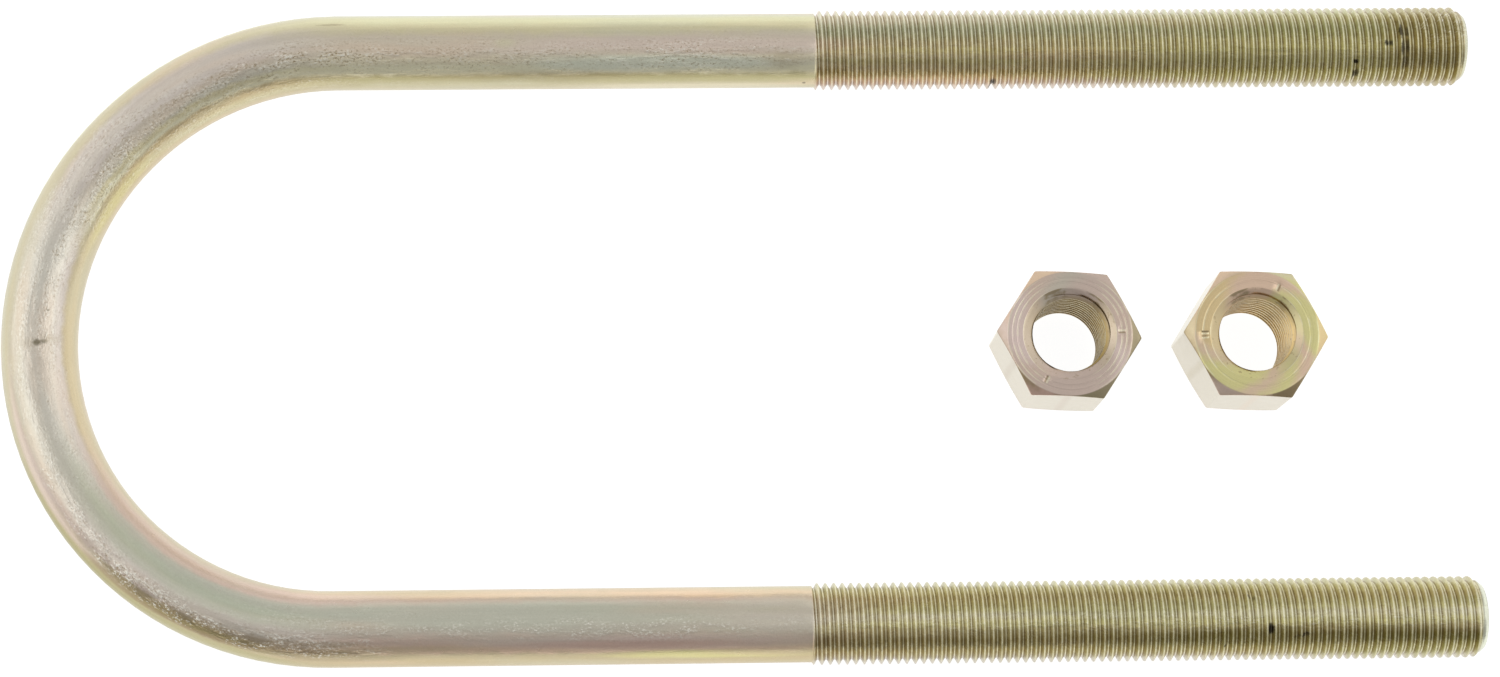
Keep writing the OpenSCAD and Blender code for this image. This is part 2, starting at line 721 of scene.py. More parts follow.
# Patches of a thinner or thicker film
PATCHES = (
    Stain(117, 0.342, 21, 1.4, Tint.PALE_SEA, 0.8, 0.9),
    Stain(121, 0.262, 27, 1.5, Tint.PALE_ROSE, 0.5, 1),
    Stain(94, 0.25, 1.8, 0.8, Tint.LEMON, 0.45, 1.2),
    Stain(136, 0.335, 2.6, 1.4, Tint.UMBER, 0.4, 1.3),
    Stain(40, 0.205, 16, 1.1, Tint.PALE_LILAC, 0.55, 1),
    Stain(-52, 0.302, 25, 1.3, Tint.SEA, 0.4, 0.8),
    Stain(-22, 0.125, 17, 1.2, Tint.PALE_ROSE, 0.65, 1),
    Stain(-22, 0.245, 14, 2, Tint.GREEN_GREY, 0.45, 1.2),
    Stain(-36, 0.158, 9, 1.6, Tint.ASH, 0.45, 1),
    Stain(-54, 0.185, 14, 1.5, Tint.ASH, 0.62, 1),
    Stain(-69, 0.11, 9, 1, Tint.MOSS, 0.5, 1),
    Stain(-80, 0.425, 14, 1.8, Tint.TAN, 0.7, 1),
    Stain(-135, 0.285, 11, 3.2, Tint.LILAC, 0.75, 1.2),
    Stain(-68, 0.38, 15, 1.2, Tint.PALE_ROSE, 0.5, 1.2),
    Stain(-40, 0.112, 9, 0.9, Tint.BARK, 0.75, 0.7),
    Stain(-52, 0.124, 11, 1, Tint.BARK, 0.85, 0.6),
    Stain(-64, 0.138, 10, 0.8, Tint.BARK, 0.65, 0.8),
    Stain(-28, 0.045, 20, 2, Tint.PEAT, 0.65, 1),
    Stain(24, 0.44, 10, 1.3, Tint.LIME, 0.5, 1.2),
    Stain(50, 0.455, 16, 0.9, Tint.LEMON, 0.35, 1.2),
    Stain(-46, 0.141, 14, 1, Tint.PEAT, 0.45, 0.8),
    Stain(-42, 0.143, 8, 0.8, Tint.BARK, 0.6, 0.8),
    Stain(-54, 0.163, 10, 0.8, Tint.BARK, 0.55, 0.8),
    Stain(-66, 0.17, 9, 0.7, Tint.BARK, 0.35, 0.9),
    Stain(-78, 0.146, 12, 0.7, Tint.UMBER, 0.45, 1),
    Stain(-118, 0.168, 24, 1.2, Tint.PALE_ROSE, 0.6, 1),
    Stain(122, 0.485, 20, 1.4, Tint.PALE_STRAW, 0.6, 1),
    Stain(98, 0.412, 16, 1.2, Tint.MOSS, 0.4, 1),
    Stain(-226, 0.07, 20, 3.2, Tint.KHAKI, 0.7, 1),
    Stain(-226, 0.095, 16, 2.6, Tint.PEAT, 0.38, 1.2),
    Stain(212, 0.455, 34, 3.5, Tint.PEAT, 0.42, 1.2),
    Stain(214, 0.13, 14, 5, Tint.PEAT, 0.26, 1.2),
    Stain(-140.3, 0.13, 1.8, 2.2, Tint.BARK, 0.5, 1),
    Stain(-98, 0.285, 26, 3.6, Tint.SEA, 0.4, 1.2),
    Stain(-124, 0.1, 17, 1.1, Tint.LIME, 0.8, 0.9),
    Stain(-115, 0.158, 17, 0.8, Tint.BLUSH, 0.75, 0.9),
    Stain(-132, 0.112, 9, 0.9, Tint.BLUSH, 0.35, 1),
    Stain(158, 0.455, 24, 1.4, Tint.APRICOT, 0.6, 0.9),
    Stain(218, 0.29, 44, 14, Tint.VERDANT, 0.5, 1.4),
    Stain(-198, 0.29, 64, 14, Tint.VERDANT, 0.4, 1.4),
    Stain(-214, 0.15, 34, 1.7, Tint.PEAT, 0.65, 1),
    Stain(235, 0.24, 8, 22, Tint.TOBACCO, 0.6, 0.6),
    Stain(232, 0.33, 9, 22, Tint.PEAT, 0.3, 0.8),
)

# Where the zinc grew in crystals, with painted glints on the bright ones
GRITS = (
    Grit(2, 0.21, 44, 2.6, 0.55, 0.3),
    Grit(2, 0.32, 28, 2.8, 0.6, 0.55),
    Grit(44, 0.42, 34, 2.6, 0.3, 0.6),
    Grit(42, 0.3, 36, 3, 0.5, 0.95),
    Grit(90, 0.31, 40, 3, 0.4, 0.85),
    Grit(124, 0.3, 18, 3, 0.45, 0.75),
    Grit(-36, 0.19, 24, 1.8, 0.85, 0.3),
    Grit(-54, 0.15, 24, 1.8, 1.1, 1.4),
    Grit(-70, 0.245, 20, 2.6, 0.5, 0.25),
    Grit(-110, 0.232, 34, 1.9, 0.85, 0.2),
    Grit(-190, 0.232, 52, 1.5, 0.7, 0.05),
    Grit(236, 0.18, 4.5, 4, 0.75, 0.5),
)

# Dirt on the bend, in the roots of the threads and beside them
SPECKS = (
    Stain(-1.5, 0.272, 0.5, 0.7, Tint.PITCH, 0.8, 1),
    Stain(-1.4, 0.3, 0.4, 0.5, Tint.PITCH, 0.6, 1),
    Stain(-1, 0.335, 0.7, 1.6, Tint.MOSS, 0.28, 1.6),
    Stain(-1.6, 0.235, 0.9, 1.3, Tint.MOSS, 0.28, 1.6),
    Stain(3.5, 0.31, 0.2, 0.2, Tint.PITCH, 0.6),
    Stain(68, 0.155, 2.2, 0.25, Tint.MOSS, 0.6, 0.8),
    Stain(139, 0.46, 0.3, 0.3, Tint.SOOT, 0.6),
    Stain(167.5, 0.488, 0.52, 1.2, Tint.SOOT, 0.95),
    Stain(222.5, 0.36, 0.34, 0.38, Tint.SOOT, 0.97),
    Stain(222.4, 0.43, 0.38, 1.1, Tint.SOOT, 0.95),
    Stain(227, 0.275, 0.44, 0.52, Tint.SOOT, 0.97),
    Stain(228, 0.16, 0.28, 0.35, Tint.PITCH, 0.9),
    Stain(229.3, 0.225, 0.42, 1.2, Tint.SOOT, 0.9),
    Stain(229.5, 0.29, 0.42, 1.3, Tint.SOOT, 0.9),
    Stain(229.7, 0.365, 0.34, 1.3, Tint.PITCH, 0.7),
    Stain(233, 0.12, 0.26, 0.3, Tint.PITCH, 0.8),
    Stain(-199, 0.125, 0.24, 0.3, Tint.SOOT, 0.9),
    Stain(-202.6, 0.335, 0.28, 0.45, Tint.PITCH, 0.9),
    Stain(-205.6, 0.192, 0.38, 1, Tint.SOOT, 0.95),
    Stain(-209.2, 0.155, 0.22, 0.28, Tint.PITCH, 0.9),
    Stain(-210.4, 0.165, 0.34, 0.4, Tint.SOOT, 0.9),
)


@dataclass(frozen=True)
class RodFinish:
    """Passivated zinc on the rod, with bands that run along it.

    Args:
        radius: the rod's radius.
        long_thread: where the thread of the longer leg starts, along the rod.
        short_thread: where that of the shorter leg starts, as a distance too.
        short_tip: where the shorter leg ends.
    """

    radius: float
    long_thread: float
    short_thread: float
    short_tip: float

    # Stretch over which the bands of the rod give way to those of a thread
    THREAD_EDGE = 0.3 * MM
    # Where the pale cone at the tip of the shorter leg begins and where it is full, from the tip
    CONE = (1.0 * MM, 0.7 * MM)
    # How far the bands wander round the rod, in long waves and in short ones
    LONG_WAVES = 0.13
    SHORT_WAVES = 0.07
    # Where on a random field the film drifts to green and to rose, and both coats
    GREEN_DRIFT = (0.55, 0.72)
    ROSE_DRIFT = (0.45, 0.28)
    GREEN = Coat(0.30, Tint.SAGE)
    ROSE = Coat(0.30, Tint.ROSE)
    # Grain of the metal, lines drawn along it and crystals of zinc: lumps in a metre and depths
    GRAIN_SCALE = 4200
    GRAIN_DEPTH = 0.020 * MM
    LINE_SCALE = 1900
    LINE_DEPTH = 0.008 * MM
    CRYSTAL_SCALE = 3600
    CRYSTAL_DEPTH = 0.050 * MM
    # Share of the crystals' relief that shows even where none do
    PLAIN_RELIEF = 0.1
    # How much the grain and the lines lighten and darken the film
    TONE = 0.16
    # Where on their field the painted glints of the bright crystals and the dark crystals show, and both
    # coats
    PAINTED_GLINTS = (0.53, 0.64)
    DARK_CRYSTALS = (0.46, 0.35)
    PAINTED_HIGHLIGHT = Coat(1.00, Tint.FROST)
    DARK = Coat(0.62, Tint.BARK)
    # Crystals everywhere, and how many more on the threads: the painted glints, then the dark
    PLAIN_GRIT = (0.08, 0.12)
    THREAD_GRIT = (0.18, 0.30)
    # Where on a random field they clump together, and the share of dark ones between the clumps
    CLUMPS = (0.36, 0.60)
    LOOSE = 0.35
    # Where a spot of grit begins and where it is full, and where a stain ends, in its own reach
    GRIT_EDGE = (1.25, 0.35)
    STAIN_EDGE = 0.85
    # Waves that fray the patches of the film and those that fray the dirt: lumps in a metre, strength
    PATCH_WAVES = 520
    PATCH_FRAY = 1.3
    DIRT_WAVES = 2600
    DIRT_FRAY = 0.8
    # Heights on the thread, in pitches from its crest: crest, root, foot of the flanks and end cone
    CREST = (-0.07, -0.01)
    ROOT = (-0.575, -0.60)
    FOOT = -0.49
    FOOT_REACH = (0.10, 0.04)
    END_CONE = (-0.63, -0.68)
    # How near the outline, seen from above, the painted highlights on the crests and roots turn lilac
    OUTLINE = (0.36, 0.46)
    # Where on a random field the painted highlights and the painted shade at the foot of the flanks are
    # broken, and the shares of both: the least painted shade and the most painted highlight, then what
    # the breaks add
    BROKEN = (0.30, 0.62)
    FOOT_SHADE = (0.30, 0.45)
    GLEAM = (0.65, -0.40)
    # Pale coats of the end cones and of the tip of the shorter leg
    CONE_COAT = Coat(0.80, Tint.PALE_LEMON)
    TIP_COAT = Coat(0.85, Tint.PALE_SEA)
    # Random fields, in lumps to a metre: waves of the bands, drift of the film, breaks of the gleam,
    # edges and clumps of the grit, and roughness
    LONG_SCALE = 260
    SHORT_SCALE = 420
    DRIFT_SCALE = 250
    BREAK_SCALE = 900
    EDGE_SCALE = 420
    CLUMP_SCALE = 900
    ROUGH_SCALE = 700
    # Smoothest metal, and how much rougher it gets in places
    SMOOTHEST = 0.24
    ROUGHER = 0.12

    @property
    def zones(self) -> tuple[Zone, ...]:
        """Stretches over the middle of the bend, each laid over the ones before it."""
        return (
            Zone(-12 * MM, -32 * MM, LOWER_BEND_BANDS),
            Zone(-56 * MM, -74 * MM, SHORT_SIDE_BANDS),
            Zone(-self.short_thread, -self.short_thread - self.THREAD_EDGE, SHORT_THREAD_BANDS),
            Zone(10 * MM, 27 * MM, UPPER_BEND_BANDS),
            Zone(52 * MM, 74 * MM, LONG_SIDE_BANDS),
            Zone(self.long_thread, self.long_thread + self.THREAD_EDGE, LONG_THREAD_BANDS),
        )

    def build(self) -> bpy.types.Material:
        """Makes the material.

        Returns:
            The material, which reads the rod's path attribute.
        """
        surface = Surface("rod_zinc_film")
        here = RodPlace.read(surface, self.radius)
        threaded = self.threaded(here)
        self.film(here)
        fray = (here.noise(self.PATCH_WAVES, FINE, stretch=0.1) - 0.5) * self.PATCH_FRAY
        self.stains(here, PATCHES, fray)
        self.lands(here, threaded)
        grain = here.noise(self.GRAIN_SCALE)
        lines = here.noise(self.LINE_SCALE, stretch=0.05)
        surface.shift((grain - 0.5) * self.TONE + (lines - 0.5) * self.TONE)
        crystals = here.noise(self.CRYSTAL_SCALE, FINE, rough=0.65, stretch=0.6)
        light, dark = self.grit(here, threaded)
        # Painted glints of the bright crystals, then the dark crystals
        surface.lay(crystals.smooth(*self.PAINTED_GLINTS) * light, self.PAINTED_HIGHLIGHT)
        surface.lay(crystals.smooth(*self.DARK_CRYSTALS) * dark, self.DARK)
        fray = (here.noise(self.DIRT_WAVES) - 0.5) * self.DIRT_FRAY
        self.stains(here, SPECKS, fray)
        roughness = self.SMOOTHEST + self.ROUGHER * here.noise(self.ROUGH_SCALE, FINE)
        relief = crystals * (light + dark + self.PLAIN_RELIEF)
        surface.shade(roughness, (
            (grain, self.GRAIN_DEPTH),
            (relief, self.CRYSTAL_DEPTH),
            (lines, self.LINE_DEPTH),
        ))
        return surface.material

    def threaded(self, here: RodPlace) -> Value:
        """Finds where there is a thread.

        Args:
            here: the place that is shaded.

        Returns:
            1 on a thread and 0 on the plain rod.
        """
        longer = (here.along - self.long_thread).smooth(0.0, self.THREAD_EDGE)
        shorter = (here.along + self.short_thread).smooth(0.0, -self.THREAD_EDGE)
        return longer + shorter

    def film(self, here: RodPlace) -> None:
        """Lays the bands of the film, with the painted highlights and painted shade in them, and its
        drift to green and rose.

        Args:
            here: the place that is shaded.
        """
        surface = here.surface
        long_waves = here.noise(self.LONG_SCALE, FINE, stretch=0.05) - 0.5
        short_waves = here.noise(self.SHORT_SCALE, FINE) - 0.5
        place = here.folded + long_waves * self.LONG_WAVES + short_waves * self.SHORT_WAVES
        # Bands of the film's colours, with painted highlights and painted shade among them
        surface.colour = surface.ramp(place, APEX_BANDS)
        for zone in self.zones:
            share = here.along.smooth(zone.start, zone.full)
            surface.cover(share, surface.ramp(place, zone.bands))
        drift = here.noise(self.DRIFT_SCALE, stretch=0.12)
        surface.lay(drift.smooth(*self.GREEN_DRIFT), self.GREEN)
        surface.lay(drift.smooth(*self.ROSE_DRIFT), self.ROSE)

    def lands(self, here: RodPlace, threaded: Value) -> None:
        """Paints highlights on the crests and the roots of the threads and shade at the foot of their
        flanks.

        Args:
            here: the place that is shaded.
            threaded: where there is a thread.
        """
        surface = here.surface
        broken = here.noise(self.BREAK_SCALE).smooth(*self.BROKEN)
        foot_shade = self.FOOT_SHADE[0] + broken * self.FOOT_SHADE[1]
        gleam = self.GLEAM[0] + broken * self.GLEAM[1]
        foot = abs(here.height - self.FOOT).smooth(*self.FOOT_REACH)
        # Painted shade at the foot of the flanks
        surface.cover(foot * threaded * foot_shade, Tint.BARK)
        # Painted highlights on the crests and the roots, lilac near the outline
        lands = here.height.smooth(*self.CREST) + here.height.smooth(*self.ROOT)
        outline = abs(here.folded - 0.5).smooth(*self.OUTLINE)
        tint = surface.mix(outline, Tint.GLEAM, Tint.LILAC)
        surface.cover(lands * threaded * gleam, tint)
        surface.lay(here.height.smooth(*self.END_CONE), self.CONE_COAT)
        surface.lay((here.along + self.short_tip).smooth(*self.CONE), self.TIP_COAT)

    def grit(self, here: RodPlace, threaded: Value) -> tuple[Value, Value]:
        """Finds how strongly the painted glints of the bright crystals and the dark crystals show.

        Args:
            here: the place that is shaded.
            threaded: where there is a thread.

        Returns:
            The shares of the painted glints and of the dark crystals.
        """
        edge = here.noise(self.EDGE_SCALE, stretch=0.1) - 0.5
        shares = zip(self.THREAD_GRIT, self.PLAIN_GRIT)
        light, dark = (threaded * on_thread + anywhere for on_thread, anywhere in shares)
        for spot in GRITS:
            near = (spot.reach(here, self.radius) + edge).smooth(*self.GRIT_EDGE)
            light = light + near * spot.light
            dark = dark + near * spot.dark
        clumps = here.noise(self.CLUMP_SCALE, stretch=0.3).smooth(*self.CLUMPS)
        return light * clumps, dark * (self.LOOSE + (1 - self.LOOSE) * clumps)

    def stains(self, here: RodPlace, stains: tuple[Stain, ...], fray: Value) -> None:
        """Lays stains over the film.

        Args:
            here: the place that is shaded.
            stains: the stains, the lowest first.
            fray: random field that frays their edges.
        """
        for stain in stains:
            reach = stain.reach(here, self.radius) + fray
            half = stain.blur / 2
            near = reach.smooth(self.STAIN_EDGE + half, self.STAIN_EDGE - half)
            here.surface.lay(near, stain.coat)


@dataclass
class BentRod:
    """The bolt itself: one rod, bent round, with a thread on each leg.

    Args:
        pitch: pitch of the threads.
        rod_radius: radius of the plain rod.
        thread_length: thread on each leg, with its run-out.
        leg_difference: how much shorter the leg on the -Y side is.
        tip_radius: radius of the end face.
        tip_slope: how fast the cone behind the end face widens.
        run_out: stretch over which the thread comes up to its full form.
        long_phase: where a crest lies on the longer leg, in pitches.
        short_phase: where a crest lies on the shorter leg, in pitches.
        segments: steps round the rod.
        rows: steps along the plain rod.
    """

    pitch: float = 1.25 * MM
    rod_radius: float = 5.6 * MM
    thread_length: float = 99 * MM
    leg_difference: float = 1.8 * MM
    tip_radius: float = 4.8 * MM
    tip_slope: float = 0.8
    run_out: float = 0.3 * MM
    long_phase: float = 0.68
    short_phase: float = 0.69
    segments: int = 48
    rows: int = 112

    NODE = "u_bolt"
    # Height that is noted where there is no thread: between crest and root, in pitches
    UNTHREADED = -0.32

    def __post_init__(self) -> None:
        """Works the rest out from the frame."""
        low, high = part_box(self.NODE)
        self.crest_radius = (high[2] - low[2]) / 2
        self.axis_z = low[2] + self.crest_radius
        self.leg_y = high[1] - self.crest_radius
        self.bend_x = low[0] + self.leg_y + self.rod_radius
        self.long_tip = high[0]
        self.short_tip = high[0] - self.leg_difference
        self.bend_half = math.pi * self.leg_y / 2
        straight = self.long_tip - self.thread_length - self.bend_x
        short_start = self.bend_half + straight - self.leg_difference
        self.finish = RodFinish(self.rod_radius, self.bend_half + straight, short_start,
                                short_start + self.thread_length)

    def build(self) -> bpy.types.Object:
        """Grows the rod.

        Returns:
            The piece, which replaces the plain rod.
        """
        graph = GeometryGraph("bent_threaded_rod")
        self.pitch_in = graph.size("Pitch", self.pitch)
        self.rod_in = graph.size("Rod Radius", self.rod_radius)
        self.crest_in = graph.size("Crest Radius", self.crest_radius)
        self.leg_in = graph.size("Leg Line", self.leg_y)
        self.bend_in = graph.size("Bend Middle", self.bend_x)
        self.axis_in = graph.size("Axis Height", self.axis_z)
        self.tip_in = graph.size("Tip Radius", self.tip_radius)
        long_tip = graph.size("Long Tip", self.long_tip)
        short_tip = graph.size("Short Tip", self.short_tip)
        length = graph.size("Thread Length", self.thread_length)
        long_phase = graph.size("Long Phase", self.long_phase)
        short_phase = graph.size("Short Phase", self.short_phase)
        parts = [
            self.thread(graph, 1.0, long_tip, length, long_phase),
            self.thread(graph, -1.0, short_tip, length, short_phase),
            self.end_face(graph, 1.0, long_tip),
            self.end_face(graph, -1.0, short_tip),
            self.plain_rod(graph, long_tip - length, short_tip - length),
        ]
        graph.finish(graph.join(*parts), self.finish.build())
        piece = new_piece("threaded_rod", bpy.data.meshes.new("threaded_rod"))
        graph.grow(piece)
        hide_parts(self.NODE)
        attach(piece, "root")
        return piece

    def thread(self, graph: GeometryGraph, side: float, tip: Value, length: Value,
               phase: Value) -> Value:
        """Thread of one leg.

        Args:
            graph: the tree.
            side: 1 on the +Y leg and -1 on the other.
            tip: where the leg ends.
            length: length of the thread.
            phase: place of a crest, in pitches.

        Returns:
            The mesh.
        """
        mesh, along, turn, rise = OUTER_THREAD.strip(graph, self.pitch_in, length, phase, self.segments)
        shape = along.smooth(0.0, self.run_out)
        radius = self.rod_in + (self.crest_in + rise - self.rod_in) * shape
        cone = self.tip_in + (length - along) * self.tip_slope
        radius = graph.math("MINIMUM", radius, cone)
        x = tip - length + along
        position = self.around_leg(graph, side, x, turn, radius)
        path = (self.bend_half + x - self.bend_in) * side
        around = turn if side > 0 else 0.5 - turn
        depth = (radius - self.crest_in) / self.pitch_in
        return graph.place(mesh, position, ROD_PATH, graph.vector(path, around, depth))

    def around_leg(self, graph: GeometryGraph, side: float, x: Value, turn: Value,
                   radius: Value) -> Value:
        """Finds a point on the surface of a leg.

        Args:
            graph: the tree.
            side: 1 on the +Y leg and -1 on the other.
            x: its place along X.
            turn: its place round the leg, in turns from +Y towards +Z.
            radius: its distance from the leg's axis.

        Returns:
            The point.
        """
        angle = turn * TURN
        y = self.leg_in * side + radius * graph.math("COSINE", angle)
        z = self.axis_in + radius * graph.math("SINE", angle)
        return graph.vector(x, y, z)

    def end_face(self, graph: GeometryGraph, side: float, tip: Value) -> Value:
        """Flat end of one leg.

        Args:
            graph: the tree.
            side: 1 on the +Y leg and -1 on the other.
            tip: where the leg ends.

        Returns:
            The mesh.
        """
        mesh = graph.value("GeometryNodeMeshCircle", {"Vertices": self.segments, "Radius": self.tip_in},
                           fill_type="TRIANGLE_FAN")
        here = graph.value("GeometryNodeInputPosition")
        x, y, _ = graph.parts(here)
        position = graph.vector(tip, self.leg_in * side + x, self.axis_in + y)
        path = (self.bend_half + tip - self.bend_in) * side
        turn = graph.math("ARCTAN2", y, x) / TURN
        around = turn if side > 0 else 0.5 - turn
        return graph.place(mesh, position, ROD_PATH, graph.vector(path, around, self.UNTHREADED))

    def plain_rod(self, graph: GeometryGraph, long_start: Value, short_start: Value) -> Value:
        """Bend and plain stretches of both legs, as one swept tube.

        Args:
            graph: the tree.
            long_start: where the thread of the longer leg starts.
            short_start: where that of the shorter leg starts.

        Returns:
            The mesh.
        """
        mesh, row, step = graph.grid(self.rows + 1, self.segments + 1)
        first = self.bend_in - short_start - self.bend_half
        last = long_start - self.bend_in + self.bend_half
        path = first + (last - first) * (row / self.rows)
        swing = graph.clamp(path / self.leg_in, -math.pi / 2, math.pi / 2)
        reach = graph.math("MAXIMUM", abs(path) - self.bend_half, 0.0)
        turn = step / self.segments
        angle = turn * TURN
        out = self.leg_in + self.rod_in * graph.math("COSINE", angle)
        x = self.bend_in + reach - out * graph.math("COSINE", swing)
        y = out * graph.math("SINE", swing)
        z = self.axis_in + self.rod_in * graph.math("SINE", angle)
        note = graph.vector(path, turn, self.UNTHREADED)
        return graph.flip(graph.place(mesh, graph.vector(x, y, z), ROD_PATH, note))


# Short strokes pressed into the upper faces of the nuts: where they begin and end, measured from
# the axis, the slope at both ends, and their depth
STROKE_START = 7.2 * MM
STROKE_END = 8.25 * MM
STROKE_EDGE = 0.05 * MM
STROKE_DEPTH = 0.26 * MM


@dataclass(frozen=True)
class NutPlace:
    """Place on a nut of the point that is shaded.

    Args:
        surface: the tree.
        place: object coordinates.
        x: distance from the nut's axis along X.
        y: the same along Y.
        radius: distance from the axis.
        level: distance from the nut's middle height.
    """

    surface: Surface
    place: Value
    x: Value
    y: Value
    radius: Value
    level: Value

    @classmethod
    def read(cls, surface: Surface, centre: tuple[float, float], height: float) -> "NutPlace":
        """Reads the object coordinates.

        Args:
            surface: the tree.
            centre: the nut's centre on the surface.
            height: the nut's height.

        Returns:
            The place.
        """
        place = surface.value("ShaderNodeTexCoord", output="Object")
        x, y, z = surface.parts(place)
        x = x - centre[0]
        y = y - centre[1]
        radius = surface.math("SQRT", x * x + y * y)
        return cls(surface, place, x, y, radius, abs(z - height / 2))

    def noise(self, scale: float, detail: float = 2.0) -> Value:
        """Random field on the nut, of so many lumps in a metre."""
        return self.surface.noise(self.place, scale, detail)

    def toward(self, angle: float) -> Value:
        """Distance from the axis, measured along one direction."""
        return self.x * math.cos(angle) + self.y * math.sin(angle)


@dataclass(frozen=True)
class NutFinish:
    """Passivated zinc on one nut, in patches that change round it.

    Args:
        name: the material's name.
        centre: the nut's centre on the surface.
        height: the nut's height.
        face_radius: radius of its flat end face.
        patches: each tint of the end faces and where it lies round the nut, in turns from +X.
        corners: the same for the chamfered corners.
        bore_tint: tint of the bore.
        bore_radius: radius of the bore.
        start: angle of the nut's first corner, in turns from +X.
        tool_lines: radius, half width and depth of each line that the tool left, and of each edge of the
            end faces; highlights are painted along them.
        marks: angle of each stroke pressed into the upper face, in radians from +X.
    """

    name: str
    centre: tuple[float, float]
    height: float
    face_radius: float
    patches: Bands
    corners: Bands
    bore_tint: Tint
    bore_radius: float
    start: float
    tool_lines: Lines
    marks: tuple[float, ...]

    # How far the patches lean over towards the bore, in turns for each metre
    LEAN = 28.0
    # How far they wander round the nut, in long waves and in short ones
    LONG_WAVES = 0.10
    SHORT_WAVES = 0.03
    # Width of the soft edge between the tints of the end face and of its chamfer
    FACE_EDGE = 0.15 * MM
    # Slope of the lower edge of the chamfer, and the width of the soft edge under it
    CHAMFER_SLOPE = 0.577
    FLAT_EDGE = 0.25 * MM
    # The flat that gets a painted highlight, in degrees from the nut's first corner
    LIT_FLAT = 150
    # Coats of the flats, a painted reflection, of that one flat, a painted highlight, of the lines,
    # painted highlights, and of both sides of a stroke, painted shade and a painted highlight
    FLAT_REFLECTION = Coat(1.00, Tint.CREAM)
    LIT = Coat(0.80, Tint.FROST)
    LINE_HIGHLIGHT = Coat(0.55, Tint.GLEAM)
    SHADED = Coat(0.75, Tint.BARK)
    PAINTED_HIGHLIGHT = Coat(0.65, Tint.GLEAM)
    # Coats of the countersinks, painted shade, of the lands and the roots in the bore, a painted
    # highlight and painted shade, and of the dirt there
    SINK_SHADE = Coat(0.60, Tint.UMBER)
    LAND_HIGHLIGHT = Coat(0.38, Tint.GLEAM)
    ROOT = Coat(0.45, Tint.BARK)
    DIRT = Coat(0.50, Tint.BARK)
    # How much of the bore its own tint hides
    BORE_SHARE = 0.92
    # Levels under the end face between which its turned grooves fade in
    GROOVE_LEVELS = (0.20 * MM, 0.05 * MM)
    # Turned grooves and grain: lumps in a metre, how much they lighten and darken, and depth
    GROOVE_SCALE = 5200.0
    GROOVE_TONE = 0.20
    GRAIN_SCALE = 4200
    GRAIN_TONE = 0.12
    RELIEF = 0.010 * MM
    # Where highlights are painted on the lines of the tool: to either side, on a random field, and
    # across a line in its half widths
    HIGHLIGHT_SIDES = (0.30, 0.80)
    HIGHLIGHT_PATCHES = (0.35, 0.55)
    HIGHLIGHT_REACH = (1.5, 0.5)
    # Random fields, in lumps to a metre: waves of the patches, breaks in the painted highlights of the
    # lines and in the painted light and shade of the thread, ends of the dark stretches, dirt, and
    # roughness
    LONG_SCALE = 240
    SHORT_SCALE = 1400
    HIGHLIGHT_SCALE = 500
    THREAD_SCALE = 800
    FRAY_SCALE = 900
    DIRT_SCALE = 1700
    ROUGH_SCALE = 900
    # Smoothest metal, and how much rougher it gets in places
    SMOOTHEST = 0.28
    ROUGHER = 0.12
    # Width of each of the two sides of a stroke, and where their painted shade and painted highlight
    # begin and are full
    STROKE_SIDE = 0.15 * MM
    STROKE_FADE = (1.3 * STROKE_SIDE, 0.4 * STROKE_SIDE)
    # Levels under the end faces between which the bore begins
    BORE_LEVELS = (0.5 * MM, 1.3 * MM)
    # Where shade is painted on the countersinks, to either side
    SHADED_SIDES = (0.45, 0.90)
    # Where on random fields the painted light and shade of the thread show, how much they show
    # everywhere, and where there is dirt
    THREAD_LIGHT_AND_SHADE = (0.38, 0.60)
    LEAST_LIGHT_AND_SHADE = 0.3
    DIRTY = (0.62, 0.70)
    # Distances beyond the bore at which the lands of its thread end and the roots begin
    LAND_REACH = (0.10 * MM, 0.02 * MM)
    ROOT_REACH = (0.15 * MM, 0.45 * MM)
    # Darker stretches of the bore and its countersinks: the middle and half the length, in turns
    DARK_ARCS = (
        (0.125, 0.030),
        (0.305, 0.045),
    )
    # Share of the half length over which they are full
    ARC_CORE = 0.2
    # How much of them shows on the countersinks, and how much less in the bore
    ARC_SHARE = 0.8
    ARC_LESS = 0.5
    # How far random waves shift their ends, and the streaks round the bore that fray them: lumps in
    # a metre, strength and stretch
    ARC_WAVES = 0.11
    STREAK_SCALE = 1600
    STREAK = 1.6
    STREAK_STRETCH = 0.006

    def build(self) -> bpy.types.Material:
        """Makes the material.

        Returns:
            The material, which reads object coordinates and the path attribute of the bore.
        """
        surface = Surface(self.name)
        here = NutPlace.read(surface, self.centre, self.height)
        outside = here.radius.smooth(self.face_radius, self.face_radius + self.FACE_EDGE)
        low, high = (self.height / 2 - level for level in self.GROOVE_LEVELS)
        face = (1 - outside) * here.level.smooth(low, high)
        grooves = surface.value("ShaderNodeTexNoise",
                                {"W": here.radius, "Scale": self.GROOVE_SCALE, "Detail": 2.0},
                                output="Fac", noise_dimensions="1D")
        grain = here.noise(self.GRAIN_SCALE)
        self.film(here, outside)
        self.flats(here, outside)
        surface.shift((grooves - 0.5) * self.GROOVE_TONE * face + (grain - 0.5) * self.GRAIN_TONE)
        self.lines(here, face)
        for mark in self.marks:
            self.stroke(here, mark)
        self.bore(here)
        roughness = self.SMOOTHEST + self.ROUGHER * here.noise(self.ROUGH_SCALE, FINE)
        surface.shade(roughness, ((grooves * face, self.RELIEF), (grain, self.RELIEF)))
        return surface.material

